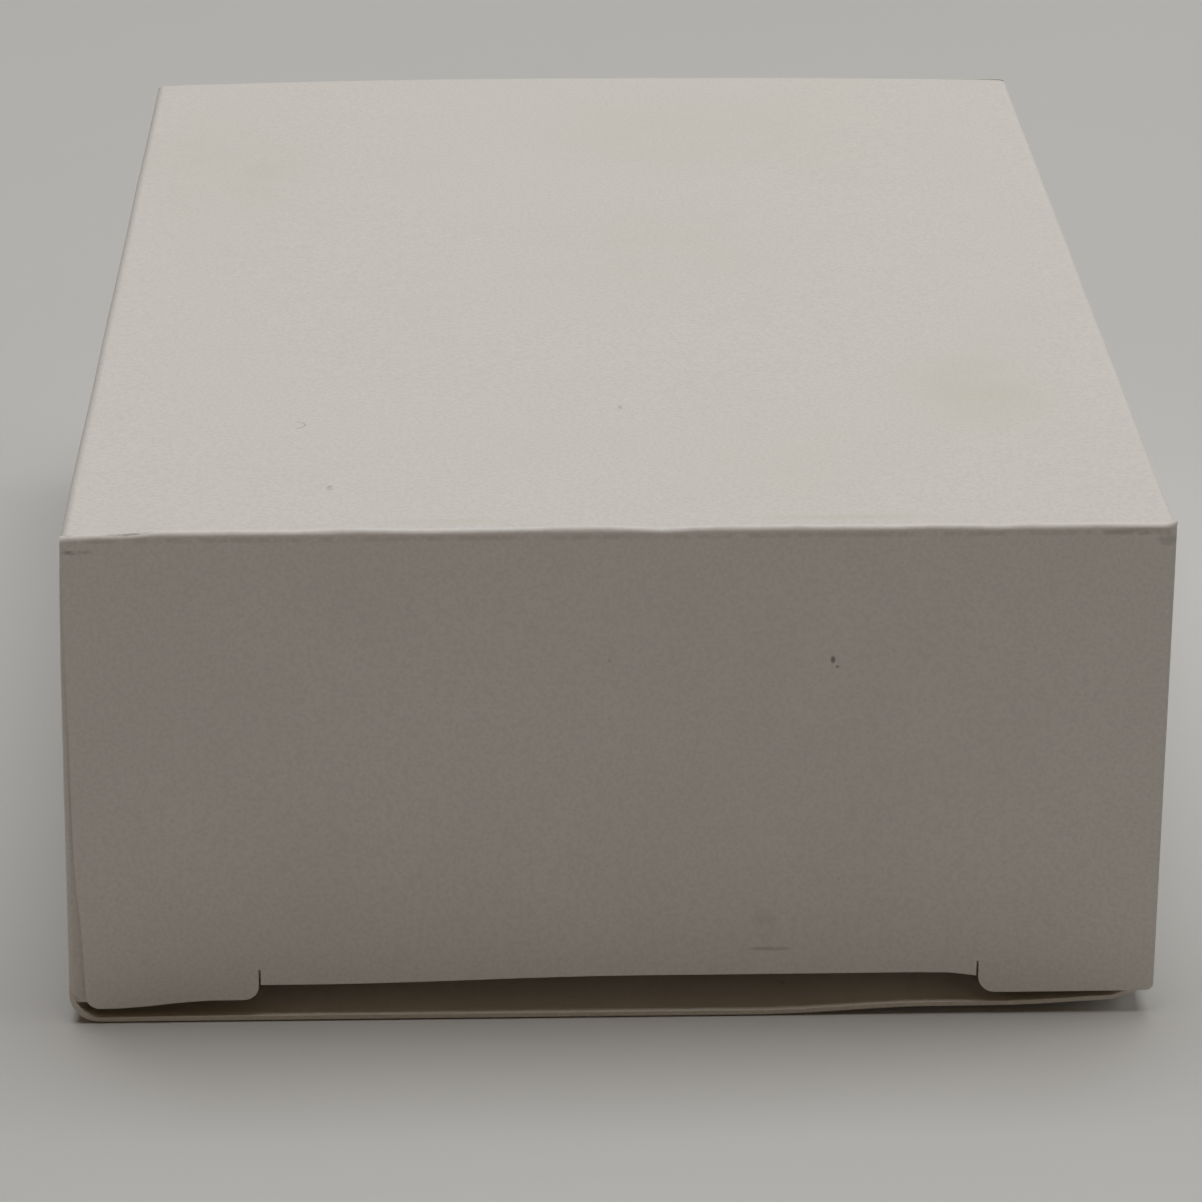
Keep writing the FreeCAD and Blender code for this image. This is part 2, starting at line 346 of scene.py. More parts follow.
def flockFinish():
    # short pile: fine clumps, brushed slightly along the length
    recipe = Recipe("flockFinish")
    place = recipe.node("ShaderNodeTexCoord", output="Object")
    pile = recipe.cloud(place, 3200.0, 3.0, 0.7)
    clumps = recipe.cloud(recipe.stretched(place, (1.0, 0.45, 1.0)), 420.0, 4.0, 0.6, 0.5)
    brushed = recipe.cloud(place, 28.0, 3.0, 0.5, 0.8)
    colour = recipe.tint(recipe.band(pile, 0.35, 0.7) * 0.55, (0.83, 0.81, 0.77), (0.71, 0.685, 0.64))
    colour = recipe.tint(recipe.band(clumps, 0.4, 0.7) * 0.25, colour, (0.87, 0.855, 0.82))
    colour = recipe.tint(recipe.band(brushed, 0.42, 0.66) * 0.18, colour, (0.74, 0.715, 0.67))
    roughness = 0.96 - recipe.band(brushed, 0.4, 0.7) * 0.08
    settings = {"Specular IOR Level": 0.1, "Sheen Weight": 0.35, "Sheen Roughness": 0.5}
    return recipe.finish(colour, roughness, pile + clumps * 0.8, 0.00012, settings)


def glueFinish():
    # dried glue: yellowed, glossy where thick
    recipe = Recipe("glueFinish")
    place = recipe.node("ShaderNodeTexCoord", output="Object")
    pools = recipe.cloud(place, 160.0, 4.0, 0.5, 0.6)
    bubbles = recipe.cells(place, 700.0)
    colour = recipe.tint(recipe.band(pools, 0.35, 0.7), (0.85, 0.82, 0.72), (0.78, 0.71, 0.54))
    roughness = 0.28 + recipe.band(pools, 0.3, 0.7) * 0.25
    height = pools + recipe.band(bubbles, 0.0, 0.25) * 0.4
    return recipe.finish(colour, roughness, height, 0.00005, {"Specular IOR Level": 0.5})


board = {
    "coated": coatedBoard(),
    "inside": plainBoard("boardInside", (0.88, 0.84, 0.765), (0.81, 0.76, 0.675), 0.00004),
    "edge": cutEdge(),
    "insert": plainBoard("insertCardFinish", (0.80, 0.785, 0.75), (0.74, 0.715, 0.67), 0.00005),
    "foam": foamFinish(),
    "flock": flockFinish(),
    "glue": glueFinish(),
}
cartonSides = [board["coated"], board["inside"], board["edge"]]
print("board finishes made")


def smoothStep(value, low, high):
    share = min(1.0, max(0.0, (value - low) / (high - low)))
    return share * share * (3 - 2 * share)


def cutLines(bm, axis, places):
    # adds edge loops where planes across one axis meet the sheet
    normal = Vector([1.0 if i == axis else 0.0 for i in range(3)])
    for place in places:
        parts = bm.verts[:] + bm.edges[:] + bm.faces[:]
        bmesh.ops.bisect_plane(bm, geom=parts, dist=0.01, plane_co=normal * place, plane_no=normal)


def evenPlaces(low, high, step):
    count = max(1, round((high - low) / step))
    return [low + (high - low) * i / count for i in range(1, count)]


def outlineSheet(corners):
    # flat face in the XY plane from corners given as (x, y, rounding)
    bm = bmesh.new()
    verts = [bm.verts.new((x, y, 0)) for x, y, _ in corners]
    bm.faces.new(verts)
    for vert, (_, _, radius) in zip(verts, corners):
        if radius > 0:
            bmesh.ops.bevel(
                bm,
                geom=[vert],
                offset=radius,
                offset_type="OFFSET",
                segments=7,
                profile=0.5,
                affect="VERTICES",
                material=-1,
                clamp_overlap=True,
            )
    return bm


def edgesAlong(bm, where):
    # edges whose both ends lie at the given coordinates, as {axis: place}
    there = {v for v in bm.verts if all(abs(v.co[axis] - at) < 1e-4 for axis, at in where.items())}
    return [e for e in bm.edges if there.issuperset(e.verts)]


def roundFold(bm, edges, radius, segments, clamp=True):
    bmesh.ops.bevel(
        bm,
        geom=edges,
        offset=radius,
        offset_type="OFFSET",
        segments=segments,
        profile=0.5,
        affect="EDGES",
        material=-1,
        clamp_overlap=clamp,
    )


def stretchPlace(bm, move):
    # moves every vertex by the shift that move() gives for its place
    for vert in bm.verts:
        vert.co += move(vert.co.copy())


def mirrorEnd(bm):
    # turns a front piece into the rear one
    bmesh.ops.scale(bm, vec=(1, -1, 1), verts=bm.verts)
    bmesh.ops.reverse_faces(bm, faces=bm.faces)


def mirrorSide(bm):
    bmesh.ops.scale(bm, vec=(-1, 1, 1), verts=bm.verts)
    bmesh.ops.reverse_faces(bm, faces=bm.faces)


def madeObject(name, bm, materials):
    bmesh.ops.scale(bm, vec=(mm, mm, mm), verts=bm.verts)
    mesh = bpy.data.meshes.new(name)
    bm.to_mesh(mesh)
    bm.free()
    for material in materials:
        mesh.materials.append(material)
    for face in mesh.polygons:
        face.use_smooth = True
    made = bpy.data.objects.new(name, mesh)
    bpy.context.collection.objects.link(made)
    return made


def settle(made):
    # keeps the shape that the modifiers give
    bpy.context.view_layer.update()
    graph = bpy.context.evaluated_depsgraph_get()
    mesh = bpy.data.meshes.new_from_object(made.evaluated_get(graph), depsgraph=graph)
    mesh.name = made.name
    made.modifiers.clear()
    made.data = mesh
    rest = mesh.attributes.new("restPlace", "FLOAT_VECTOR", "POINT")
    for vert, kept in zip(mesh.vertices, rest.data):
        kept.vector = vert.co
    return made


cardSettings = {"edgeRound": 0.05, "edgeSegments": 2, "edgeAngle": 55, "sliver": 0.04}


def cardObject(name, bm, materials, thickness):
    # gives a sheet its board thickness, inwards from the outer face, and eases the cut edges
    bmesh.ops.remove_doubles(bm, verts=bm.verts, dist=cardSettings["sliver"])
    bmesh.ops.dissolve_degenerate(bm, edges=bm.edges, dist=cardSettings["sliver"])
    made = madeObject(name, bm, materials)
    thick = made.modifiers.new("thickness", "SOLIDIFY")
    thick.thickness = thickness * mm
    thick.offset = -1
    thick.use_even_offset = False  # even offset throws spikes off narrow faces
    thick.material_offset = 1
    thick.material_offset_rim = 2
    ease = made.modifiers.new("cutEdges", "BEVEL")
    ease.width = cardSettings["edgeRound"] * mm
    ease.segments = cardSettings["edgeSegments"]
    ease.limit_method = "ANGLE"
    ease.angle_limit = math.radians(cardSettings["edgeAngle"])
    ease.harden_normals = True
    return settle(made)


wear = {
    "leftLean": 1.03,  # how far the left wall leans out at the bottom
    "rightLean": 0.5,  # how far the right wall leans in
    "leanPower": 0.62,
    "archFront": 0.12,  # rise of the top panel's middle at the front crease
    "archMiddle": 0.55,
    "archRear": 0.62,
    "cornerDrop": 0.36,  # the front left top corner is pushed down
    "cornerReach": 9.0,
    "liftFirst": 0.68,  # the bottom panel lifts off the table near the front right corner
    "liftSecond": 0.6,
    "liftReach": 34.0,
    "cornerCurl": 0.6,  # the raw corner turns up and back
    "cornerPull": 0.9,
    "footLift": 0.16,  # the raw front edge curls just clear of the table
    "ripple": 0.07,
    "rippleSize": 24.0,
    "flutter": 0.03,
    "flutterSize": 5.0,
    "closureBow": 0.25,
    "creaseArch": 0.62,
    "leftDroop": 0.75,
    "rearArch": 0.4,  # the rear closure is bent less, in shares of the front's bends
    "rearDroop": 0.3,
    "rightSkew": 0.3,
    "leftNarrow": 0.6,  # the front panel pulls in from the left wall towards its foot
}


def downShare(z):
    return min(1.0, max(0.0, (box["height"] - z) / box["height"]))


def ripple(place, size, height):
    return noise.noise(place / size) * height


def wallLean(place):
    # sideways shift of the sleeve: it leans a little to the left
    down = downShare(place.z)
    side = (place.x / box["halfWidth"] + 1) / 2
    left = -wear["leftLean"] * down ** wear["leanPower"]
    right = -wear["rightLean"] * down
    return left + (right - left) * side


def topRise(x, y):
    # upward bow of the top panel, and its pushed-in front left corner
    along = (y + box["halfDepth"]) / (2 * box["halfDepth"])
    if along < 0.5:
        arch = wear["archFront"] + (wear["archMiddle"] - wear["archFront"]) * smoothStep(along, 0, 0.5)
    else:
        arch = wear["archMiddle"] + (wear["archRear"] - wear["archMiddle"]) * smoothStep(along, 0.5, 1)
    across = 1 - abs(x / box["halfWidth"]) ** 2.6
    corner = 1 - smoothStep(x, -box["halfWidth"] + 3.5, -box["halfWidth"] + wear["cornerReach"])
    near = 1 - smoothStep(y, -box["halfDepth"] + 1, -box["halfDepth"] + 16)
    return arch * across - wear["cornerDrop"] * corner * near


def bottomLift(x, y):
    near = 1 - smoothStep(y, -box["halfDepth"], -box["halfDepth"] + wear["liftReach"])
    first = wear["liftFirst"] * smoothStep(x, 14, 30)
    second = wear["liftSecond"] * smoothStep(x, 36, box["halfWidth"])
    foot = wear["footLift"] * (1 - smoothStep(y, 2 - box["halfDepth"], 12 - box["halfDepth"]))
    curl = wear["cornerCurl"] * smoothStep(x, box["halfWidth"] - 3.6, box["halfWidth"] - 0.5)
    curl *= 1 - smoothStep(y, 1 - box["halfDepth"], 7 - box["halfDepth"])
    return (first + second) * near + foot + curl


def sleeveShift(place):
    # full shift of a point of the sleeve
    up = 1 - downShare(place.z)
    rise = topRise(place.x, place.y) * up**3
    lift = bottomLift(place.x, place.y) * (1 - up)
    inwards = smoothStep(place.z, 1.0, 4.0)
    small = ripple(place, wear["rippleSize"], wear["ripple"])
    small += ripple(place, wear["flutterSize"], wear["flutter"])
    return Vector((wallLean(place) + small * inwards, 0, rise + lift + small * up**2))


sleeve = {
    "step": 3.2,
    "topFold": 0.8,
    "bottomLeftFold": 2.9,
    "bottomRightFold": 1.9,
    "foldSegments": 7,
    "foldMargin": 1.35,  # clear strip beside a fold, in fold radii
    "cornerRise": 4.9,  # how far up the walls' ends draw back from the bottom panel's end
    "creaseGroove": 0.15,
    "glueEndSlope": 0.45,
    "glueTaperReach": 14.0,
    "cornerNotch": 0.1,  # the folds stop this far short of the closures' seams
}


def foldUp(bm, layer, place, reach):
    # folds everything beyond a crease up by a right angle
    beyond = [v for v in bm.verts if v[layer] > reach + 1e-3]
    bmesh.ops.rotate(
        bm, cent=(place, 0, 0), matrix=Matrix.Rotation(math.radians(90), 3, "Y"), verts=beyond
    )


def foldedStrip(startX, panels, folds, halfLength, step, floor):
    # a flat strip laid along -X from startX, folded up at each crease into a tube or tray
    total = sum(panels)
    bm = bmesh.new()
    farX = startX - total
    corners = [(startX, -halfLength), (startX, halfLength), (farX, halfLength), (farX, -halfLength)]
    bm.faces.new([bm.verts.new((x, y, 0)) for x, y in corners])
    creases = [sum(panels[: i + 1]) for i in range(len(panels) - 1)]
    edges = [0] + creases + [total]
    margins = [0] + list(folds) + [0]
    cuts = list(creases)
    for i in range(len(panels)):
        low = edges[i] + margins[i] * sleeve["foldMargin"]
        high = edges[i + 1] - margins[i + 1] * sleeve["foldMargin"]
        cuts += [low] if margins[i] else []
        cuts += [high] if margins[i + 1] else []
        cuts += evenPlaces(low, high, step)
    cutLines(bm, 0, [startX - c for c in sorted(cuts)])
    layer = bm.verts.layers.float.new("along")
    for vert in bm.verts:
        vert[layer] = startX - vert.co.x
    for crease in reversed(creases):
        foldUp(bm, layer, startX - crease, crease)
    rounded = []
    for crease in creases:
        rounded.append([e for e in bm.edges if all(abs(v[layer] - crease) < 1e-3 for v in e.verts)])
    for edgesHere, fold in zip(rounded, folds):
        roundFold(bm, edgesHere, fold, sleeve["foldSegments"], clamp=False)
    bmesh.ops.translate(bm, vec=(0, 0, floor), verts=bm.verts)
    return bm


def trim(bm, outside):
    gone = [f for f in bm.faces if outside(f.calc_center_median())]
    bmesh.ops.delete(bm, geom=gone, context="FACES")


def sleeveBoard():
    seam = glueLow.z
    startX = bottomHigh.x
    panels = [
        startX + box["halfWidth"],
        box["height"],
        2 * box["halfWidth"],
        box["height"] - seam,
        box["halfWidth"] - glueLow.x,
    ]
    folds = [sleeve["bottomLeftFold"], sleeve["topFold"], sleeve["topFold"], sleeve["bottomRightFold"]]
    bm = foldedStrip(startX, panels, folds, box["bottomEnd"], sleeve["step"], 0)
    ends = [box["topEnd"], box["wallEnd"], box["topEnd"] - sleeve["cornerNotch"]]
    ends += [box["wallEnd"] - 0.5, box["wallEnd"] - 1.6]
    places = evenPlaces(-box["wallEnd"] + 3, box["wallEnd"] - 3, sleeve["step"])
    places += [side * end for end in ends for side in (-1, 1)]
    cutLines(bm, 1, sorted(places))
    inner = box["halfWidth"] - sleeve["topFold"]

    def outside(centre):
        far = abs(centre.y)
        isTop = centre.z > box["height"] - 0.02 and abs(centre.x) < inner
        foldStart = box["halfWidth"] - sleeve["bottomRightFold"]
        isGlueFlap = abs(centre.z - seam) < 0.02 and centre.x < foldStart
        if isTop:
            return far > box["topEnd"]
        if centre.z > box["height"] - sleeve["topFold"]:
            return far > box["topEnd"] - sleeve["cornerNotch"]
        if centre.z < sleeve["cornerRise"] and not isGlueFlap:
            return False
        return far > box["wallEnd"]

    trim(bm, outside)

    def shift(place):
        move = sleeveShift(place)
        past = abs(place.y) - box["wallEnd"]
        if past > 0 and place.z < box["height"] / 2:
            keep = 1 - smoothStep(place.z, 0.6, sleeve["cornerRise"])
            move.y -= math.copysign(past * (1 - keep), place.y)
        if place.x > glueLow.x - 1 and seam - 0.02 < place.z < seam + 2:
            # the glue flap's ends are cut on a slope
            share = (abs(place.y) - box["wallEnd"]) / sleeve["glueTaperReach"] + 1
            share = min(1.0, max(0.0, share))
            taper = sleeve["glueEndSlope"] * max(0.0, glueHigh.x - place.x)
            move.y -= math.copysign(taper * share, place.y)
        corner = smoothStep(place.x, box["halfWidth"] - 3.6, box["halfWidth"] - 0.4)
        corner *= smoothStep(-place.y, box["wallEnd"] - 4, box["bottomEnd"])
        move.y += wear["cornerPull"] * corner * (1 - smoothStep(place.z, 0.4, 2.5))
        nearEnd = smoothStep(abs(place.y), box["topEnd"] - 0.7, box["topEnd"])
        nearTop = smoothStep(place.z, box["height"] - 1, box["height"])
        move.z -= sleeve["creaseGroove"] * nearEnd * nearTop
        return move

    stretchPlace(bm, shift)
    bmesh.ops.reverse_faces(bm, faces=bm.faces)
    return cardObject("sleeve_board", bm, cartonSides, box["board"])


sleevePiece = sleeveBoard()
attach(sleevePiece, "sleeve")
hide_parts("top_panel", "bottom_panel", "left_side_panel", "right_side_panel", "glue_flap")
print("sleeve made")


closure = {
    "step": 3.0,
    "fold": 0.5,
    "bend": 0.55,
    "shoulderWide": 16.9,
    "shoulderRound": 1.45,
    "leftCorner": 1.3,
    "rightCorner": 0.7,
    "slitWide": 0.2,
    "slitLong": 1.55,
    "leftEdge": 0.02,
    "rightEdge": 0.02,
    "rearRightEdge": 0.3,
    "tipWide": 0.9,  # the front right end of the crease stands up in a small point
    "tipHigh": 0.4,
}


def creaseArch(x):
    # the lower crease is sprung up between these places across the box
    return wear["creaseArch"] * smoothStep(x, -30, 2) * (1 - smoothStep(x, 30, 36))


def closureShift(place, front):
    # how a closed closure panel sits: crease arched up, left shoulder hanging lower
    down = downShare(place.z)
    half = box["halfWidth"]
    low = 1 - smoothStep(place.z, 3, 16)
    rise = topRise(place.x, place.y) * (1 - down) ** 3
    arch = creaseArch(place.x) * low
    droop = wear["leftDroop"] * (1 - smoothStep(place.x, -half + 2, -half + 13)) * low
    bow = wear["closureBow"] * math.sin(math.pi * min(1.0, down * 1.02)) * (1 - (place.x / half) ** 2)
    skew = -wear["rightSkew"] * down * smoothStep(place.x, half - 14, half)
    narrow = smoothStep(18 - place.z, 0, 13) * (1 - smoothStep(place.x, 4 - half, 12 - half))
    skew += wear["leftNarrow"] * narrow if front else 0
    small = ripple(place, wear["rippleSize"], wear["ripple"]) * smoothStep(down, 0.02, 0.2)
    atTop = 1 - smoothStep(down, 0.0, 0.04)
    crease = (ripple(place, 1.7, 0.13) + ripple(place, 7, 0.2)) * atTop
    if front:
        crease += closure["tipHigh"] * smoothStep(place.x, half - closure["tipWide"], half) * atTop
    else:
        arch *= wear["rearArch"]
        droop *= wear["rearDroop"]
    return Vector((skew, -(bow + small) + crease * 0.4, rise + arch - droop + crease))


def closureBoard(end):
    front = end == "front"
    half = box["halfWidth"]
    shoulder = closureLow.z
    crease = tuckLow.z + 0.06
    window = half - closure["shoulderWide"]
    seam = box["halfDepth"] - box["topEnd"]
    left = -half + closure["leftEdge"]
    right = half - (closure["rightEdge"] if front else closure["rearRightEdge"])
    high = box["height"] + seam
    slit = closure["slitWide"]
    top = crease + closure["slitLong"]
    corners = [
        (left, high, 0),
        (left, shoulder, closure["leftCorner"]),
        (-window, shoulder, closure["shoulderRound"]),
        (-window, top, 0),
        (-window + slit, top, 0),
        (-window + slit, crease, 0),
        (window - slit, crease, 0),
        (window - slit, top, 0),
        (window, top, 0),
        (window, shoulder, closure["shoulderRound"]),
        (right, shoulder, closure["rightCorner"]),
        (right, high, 0),
    ]
    bm = outlineSheet(corners)
    tipLines = [half - closure["tipWide"], half - closure["tipWide"] / 2]
    cutLines(bm, 0, evenPlaces(left, tipLines[0] - 0.5, closure["step"]) + tipLines)
    levels = evenPlaces(crease + 2.5, box["height"] - 1.5, closure["step"])
    cutLines(bm, 1, levels + [box["height"] - 1.2, box["height"] - 0.75, box["height"]])
    bmesh.ops.rotate(bm, cent=(0, 0, 0), matrix=Matrix.Rotation(math.radians(90), 3, "X"), verts=bm.verts)
    bmesh.ops.translate(bm, vec=(0, -box["halfDepth"], 0), verts=bm.verts)
    strip = [v for v in bm.verts if v.co.z > box["height"] + 1e-4]
    bmesh.ops.rotate(
        bm,
        cent=(0, -box["halfDepth"], box["height"]),
        matrix=Matrix.Rotation(math.radians(-90), 3, "X"),
        verts=strip,
    )
    ridge = edgesAlong(bm, {1: -box["halfDepth"], 2: box["height"]})
    roundFold(bm, ridge, closure["fold"], 6)
    stretchPlace(bm, lambda place: closureShift(place, front))
    bmesh.ops.recalc_face_normals(bm, faces=bm.faces)
    if sum((f.normal.y for f in bm.faces)) > 0:
        bmesh.ops.reverse_faces(bm, faces=bm.faces)
    if not front:
        mirrorEnd(bm)
    name = end + "_closure_board"
    made = cardObject(name, bm, cartonSides, box["board"])
    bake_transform(made)
    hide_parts(end + "_closure_panel")


for end in ("front", "rear"):
    closureBoard(end)
print("closures made")


tuck = {
    "step": 3.0,
    "fold": 0.48,
    "bend": 0.55,
    "cornerRound": 9.0,
    "earSetback": 1.5,
    "taper": 1.2,
    "slitGap": 0.05,
}


def tuckBoard(end):
    front = end == "front"
    window = box["halfWidth"] - closure["shoulderWide"] - closure["slitWide"] - tuck["slitGap"]
    root = tuckHigh.x
    tip = root - tuck["taper"]
    outer = -box["halfDepth"]
    ear = outer + box["board"] / 2 + tuck["earSetback"]
    far = tuckHigh.y
    corners = [
        (-window, outer, 0),
        (window, outer, 0),
        (window, ear, 0),
        (root, ear, 0),
        (tip, far, tuck["cornerRound"]),
        (-tip, far, tuck["cornerRound"]),
        (-root, ear, 0),
        (-window, ear, 0),
    ]
    bm = outlineSheet(corners)
    cutLines(bm, 0, evenPlaces(-root, root, tuck["step"]))
    cutLines(bm, 1, evenPlaces(ear, far, tuck["step"]) + [outer + 0.8])
    bmesh.ops.translate(bm, vec=(0, 0, tuckLow.z), verts=bm.verts)
    frontEdge = [e for e in bm.edges if all(abs(v.co.y - outer) < 1e-4 for v in e.verts)]
    raised = bmesh.ops.extrude_edge_only(bm, edges=frontEdge)
    lip = [v for v in raised["geom"] if isinstance(v, bmesh.types.BMVert)]
    bmesh.ops.translate(bm, vec=(0, 0, tuck["fold"] + 0.04), verts=lip)
    ridge = edgesAlong(bm, {1: outer, 2: tuckLow.z})
    roundFold(bm, ridge, tuck["fold"], 5)

    def shift(place):
        near = 1 - smoothStep(place.y, outer, outer + 16)
        arch = creaseArch(place.x) * (1 if front else wear["rearArch"])
        return Vector((0, 0, arch * (0.25 + 0.75 * near) + ripple(place, 16, 0.08)))

    stretchPlace(bm, shift)
    bmesh.ops.recalc_face_normals(bm, faces=bm.faces)
    if sum((f.normal.z * f.calc_area() for f in bm.faces)) > 0:
        bmesh.ops.reverse_faces(bm, faces=bm.faces)
    if not front:
        mirrorEnd(bm)
    made = cardObject(end + "_tuck_board", bm, cartonSides, box["board"])
    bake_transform(made)
    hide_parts(end + "_tuck_flap")


for end in ("front", "rear"):
    tuckBoard(end)
print("tuck flaps made")


dust = {
    "step": 3.0,
    "fold": 0.55,
    "bend": 2.2,
    "heelWide": 2.4,
    "heelLow": 1.9,
    "heelRamp": 0.5,
    "tipRound": 5.0,
    "slope": 0.62,
    "rootSlope": 0.1,
}


def dustBoard(end, side):
    front = end == "front"
    left = side == "left"
    half = box["halfWidth"]
    faceY = dustLow.y  # outer face of the flap
    length = dustHigh.x - dustLow.x
    low = dustLow.z
    high = dustHigh.z
    strip = -box["wallEnd"] - faceY  # bit of wall between the seam and the flap's face
    tipHigh = high - (length - box["board"] / 2) * dust["slope"]
    tipLow = low + (length - closure["shoulderWide"]) * dust["rootSlope"]
    corners = [
        (-strip, dust["heelLow"], 0),
        (dust["heelWide"], dust["heelLow"], 0),
        (dust["heelWide"] + dust["heelRamp"], low, 0),
        (closure["shoulderWide"], low, 0),
        (length, tipLow, dust["tipRound"]),
        (length, tipHigh, dust["tipRound"]),
        (0, high, 0),
        (-strip, high, 0),
    ]
    bm = outlineSheet(corners)
    cutLines(bm, 0, [0, 1.0] + evenPlaces(1.0, length, dust["step"]))
    cutLines(bm, 1, [low] + evenPlaces(low, high, dust["step"]))
    bmesh.ops.rotate(bm, cent=(0, 0, 0), matrix=Matrix.Rotation(math.radians(90), 3, "X"), verts=bm.verts)
    bmesh.ops.translate(bm, vec=(-half, faceY, 0), verts=bm.verts)
    wallStrip = [v for v in bm.verts if v.co.x < -half - 1e-4]
    bmesh.ops.rotate(
        bm, cent=(-half, faceY, 0), matrix=Matrix.Rotation(math.radians(-90), 3, "Z"), verts=wallStrip
    )
    ridge = edgesAlong(bm, {0: -half, 1: faceY})
    roundFold(bm, ridge, dust["fold"], 6)

    def shift(place):
        near = 1 - smoothStep(place.x, -half + 1, -half + 9)
        real = Vector((place.x if left else -place.x, place.y if front else -place.y, place.z))
        lean = wallLean(real) if left else -wallLean(real)
        lift = bottomLift(real.x, real.y) * downShare(real.z) if front else 0
        return Vector((lean * near, ripple(place, 18, 0.08) * (1 - near), lift * near))

    stretchPlace(bm, shift)
    bmesh.ops.recalc_face_normals(bm, faces=bm.faces)
    if sum((f.normal.y * f.calc_area() for f in bm.faces)) > 0:
        bmesh.ops.reverse_faces(bm, faces=bm.faces)
    if not left:
        mirrorSide(bm)
    if not front:
        mirrorEnd(bm)
    name = end + "_" + side + "_dust_board"
    made = cardObject(name, bm, cartonSides, box["board"])
    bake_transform(made)
    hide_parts(end + "_" + side + "_dust_flap")


for end in ("front", "rear"):
    for side in ("left", "right"):
        dustBoard(end, side)
print("dust flaps made")


# the padded insert: a folded card tray, a foam pad and its flocked facing
insert = {"step": 4.0, "fold": 0.8, "sag": 0.1, "sagSpan": 49.0, "sagEdge": 48.0}
pad = {"step": 4.0, "cornerRound": 3.0, "rimRound": 0.8, "crown": 0.35}
cover = {"step": 4.0, "cornerRound": 2.4, "rimRound": 0.25, "crown": 0.35}
slits = {
    "ringLong": 24.0,
    "ringWide": 1.2,
    "ringDeep": 7.5,
    "ringCount": 3,
    "ringPitch": 14.0,
    "chainLong": 7.0,
    "chainWide": 0.9,
    "chainX": 26.0,
    "chainY": 52.0,
    "chainTurn": 45.0,
}


def insertCard():
    deckWide = 2 * abs(legLow.x)
    rightLegLow = glueHigh.z
    panels = [deckHigh.z - legLow.z, deckWide, deckHigh.z - rightLegLow]
    bm = foldedStrip(panels[0], panels, [insert["fold"]] * 2, deckHigh.y, insert["step"], 0)
    places = evenPlaces(-legHigh.y, legHigh.y, insert["step"]) + [-legHigh.y, legHigh.y]
    cutLines(bm, 1, sorted(places))
    bmesh.ops.rotate(bm, cent=(0, 0, 0), matrix=Matrix.Rotation(math.radians(90), 3, "Y"), verts=bm.verts)
    bmesh.ops.translate(bm, vec=(-deckWide / 2, 0, deckHigh.z), verts=bm.verts)
    trim(bm, lambda c: c.z < deckHigh.z - insert["fold"] and abs(c.y) > legHigh.y)

    def shift(place):
        down = (deckHigh.z - place.z) / deckHigh.z
        lift = bottomLift(place.x, place.y) * down if place.x > 0 else 0
        sag = insert["sag"] * (1 - (place.x / insert["sagSpan"]) ** 2) * (1 - down)
        sag = sag if abs(place.x) < insert["sagEdge"] else 0
        return Vector((ripple(place, 22, 0.05) * down, 0, lift - sag))

    stretchPlace(bm, shift)
    bmesh.ops.reverse_faces(bm, faces=bm.faces)
    sides = [board["insert"], board["insert"], board["edge"]]
    return cardObject("insert_card", bm, sides, box["board"])


def slitCutters(low, high):
    # one mesh of bars: ring slits across the middle, a slanted chain slit near each corner
    bm = bmesh.new()
    first = -slits["ringPitch"] * (slits["ringCount"] - 1) / 2

    def bar(long, wide, turn, x, y):
        made = bmesh.ops.create_cube(bm, size=1)["verts"]
        turned = Matrix.Rotation(math.radians(turn), 3, "Z")
        bmesh.ops.scale(bm, vec=(long, wide, high - low), verts=made)
        bmesh.ops.rotate(bm, cent=(0, 0, 0), matrix=turned, verts=made)
        bmesh.ops.translate(bm, vec=(x, y, (low + high) / 2), verts=made)

    for i in range(slits["ringCount"]):
        bar(slits["ringLong"], slits["ringWide"], 0, 0, first + i * slits["ringPitch"])
    for sideX in (-1, 1):
        for sideY in (-1, 1):
            turn = -sideX * sideY * slits["chainTurn"]
            place = (sideX * slits["chainX"], sideY * slits["chainY"])
            bar(slits["chainLong"], slits["chainWide"], turn, *place)
    return bm


def cushionBlock(name, low, high, material, look, slitLow):
    # a rounded block with a crowned top, slit from above
    bm = bmesh.new()
    made = bmesh.ops.create_cube(bm, size=1)["verts"]
    size = high - low
    bmesh.ops.scale(bm, vec=size, verts=made)
    bmesh.ops.translate(bm, vec=(low + high) / 2, verts=made)
    corners = [e for e in bm.edges if abs(e.verts[0].co.z - e.verts[1].co.z) > size.z / 2]
    roundFold(bm, corners, look["cornerRound"], 8)
    rim = [e for e in bm.edges if all(abs(v.co.z - high.z) < 1e-3 for v in e.verts)]
    roundFold(bm, rim, look["rimRound"], 4)
    cutLines(bm, 0, evenPlaces(low.x, high.x, look["step"]))
    cutLines(bm, 1, evenPlaces(low.y, high.y, look["step"]))

    def shift(place):
        up = smoothStep(place.z, low.z, high.z)
        across = max(0, 1 - (place.x / high.x) ** 4) * max(0, 1 - (place.y / high.y) ** 4)
        swell = look["crown"] * (across - 0.5)
        return Vector((0, 0, up * (swell + ripple(place, 9, 0.06))))

    stretchPlace(bm, shift)
    bmesh.ops.recalc_face_normals(bm, faces=bm.faces)
    piece = madeObject(name, bm, [material])
    cutter = madeObject("cutter", slitCutters(slitLow, high.z + 2), [material])
    cut = piece.modifiers.new("slits", "BOOLEAN")
    cut.operation = "DIFFERENCE"
    cut.solver = "EXACT"
    cut.object = cutter
    settle(piece)
    bpy.data.objects.remove(cutter)
    return piece


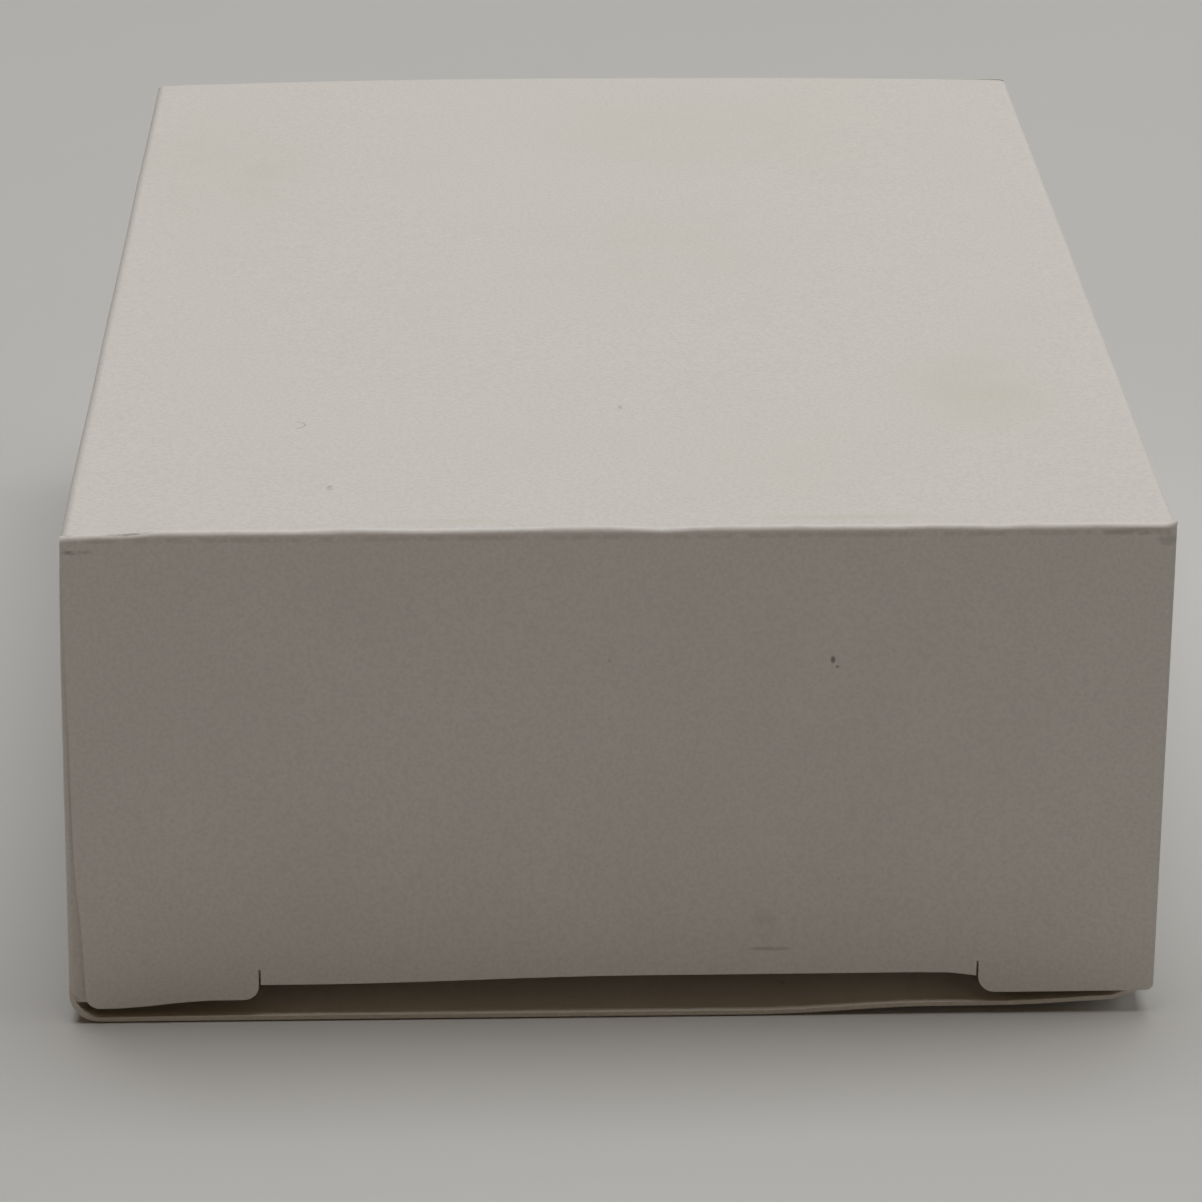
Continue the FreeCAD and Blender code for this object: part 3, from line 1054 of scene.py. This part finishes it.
def glueBead():
    bm = bmesh.new()
    low, high = nodeBox("glue_line")
    made = bmesh.ops.create_cube(bm, size=1)["verts"]
    bmesh.ops.scale(bm, vec=high - low, verts=made)
    bmesh.ops.translate(bm, vec=(low + high) / 2, verts=made)
    cutLines(bm, 0, evenPlaces(low.x, high.x, 2.0))
    cutLines(bm, 1, evenPlaces(low.y, high.y, 3.0))
    stretchPlace(bm, sleeveShift)
    bmesh.ops.recalc_face_normals(bm, faces=bm.faces)
    return madeObject("glue_bead", bm, [board["glue"]])


insertPiece = insertCard()
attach(insertPiece, "sleeve")
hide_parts("insert_deck", "insert_left_leg", "insert_right_leg")

slitLow = padHigh.z - slits["ringDeep"]
foamPiece = cushionBlock("foam_block", padLow, padHigh, board["foam"], pad, slitLow)
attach(foamPiece, "sleeve")
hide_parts("foam_pad")

coverPiece = cushionBlock("flocked_facing", coverLow, coverHigh, board["flock"], cover, coverLow.z - 1)
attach(coverPiece, "sleeve")
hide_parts("flocked_cover")

gluePiece = glueBead()
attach(gluePiece, "sleeve")
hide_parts("glue_line")
print("insert made")


stage = {"floor": (0.64, 0.65, 0.65), "worn": (0.60, 0.607, 0.605), "size": 3.0}
view = {
    "target": (-1.71, -76.2, 42.43),
    "distance": 443.2,
    "azimuth": 1.455,
    "down": 21.52,
    "lens": 145.4,
}
lights = {
    "overhead": {
        "place": (0.0, 0.08, 1.5),
        "wide": 1.1,
        "deep": 1.1,
        "power": 11.0,
        "colour": (0.985, 0.97, 0.95),
    },
    "window": {
        "place": (0.0, 0.30, 0.95),
        "wide": 0.9,
        "deep": 0.7,
        "power": 2.05,
        "colour": (0.88, 0.95, 1.0),
    },
    "side": {
        "place": (1.6, 0.2, 0.9),
        "wide": 1.4,
        "deep": 1.2,
        "power": 6.6,
        "colour": (1.0, 0.985, 0.95),
    },
}
sky = {"strength": 0.056, "colour": (1.0, 0.52, 0.12)}


def floorFinish():
    recipe = Recipe("floorFinish")
    place = recipe.node("ShaderNodeTexCoord", output="Object")
    cloud = recipe.cloud(place, 9.0, 4.0)
    colour = recipe.tint(recipe.band(cloud, 0.3, 0.7) * 0.25, stage["floor"], stage["worn"])
    height = recipe.cloud(place, 700.0, 3.0)
    return recipe.finish(colour, 0.75 + cloud * 0.1, height, 0.00002, {"Specular IOR Level": 0.25})


def makeStage():
    bm = bmesh.new()
    bmesh.ops.create_grid(bm, x_segments=1, y_segments=1, size=stage["size"] / mm)
    floor = madeObject("floor", bm, [floorFinish()])


def makeLights():
    for name, spec in lights.items():
        data = bpy.data.lights.new(name, "AREA")
        data.shape = "RECTANGLE"
        data.size = spec["wide"]
        data.size_y = spec["deep"]
        data.energy = spec["power"]
        data.color = spec["colour"]
        lamp = bpy.data.objects.new(name, data)
        lamp.location = spec["place"]
        lamp.rotation_euler = (-Vector(spec["place"])).to_track_quat("-Z", "Y").to_euler()
        bpy.context.collection.objects.link(lamp)
    world = bpy.data.worlds.new("studio")
    world.use_nodes = True
    shell = world.node_tree.nodes["Background"]
    shell.inputs["Color"].default_value = (*sky["colour"], 1)
    shell.inputs["Strength"].default_value = sky["strength"]
    bpy.context.scene.world = world


def makeCamera():
    data = bpy.data.cameras.new("view")
    data.lens = view["lens"]
    data.sensor_width = 36
    data.clip_start = 0.01
    data.clip_end = 20
    camera = bpy.data.objects.new("view", data)
    turn = math.radians(view["azimuth"])
    down = math.radians(view["down"])
    ahead = Vector((math.sin(turn) * math.cos(down), math.cos(turn) * math.cos(down), -math.sin(down)))
    camera.location = (Vector(view["target"]) - ahead * view["distance"]) * mm
    camera.rotation_euler = ahead.to_track_quat("-Z", "Y").to_euler()
    bpy.context.collection.objects.link(camera)
    bpy.context.scene.camera = camera


makeStage()
makeLights()
makeCamera()
bpy.context.scene.view_settings.view_transform = "Standard"
print("stage, lights and camera made")
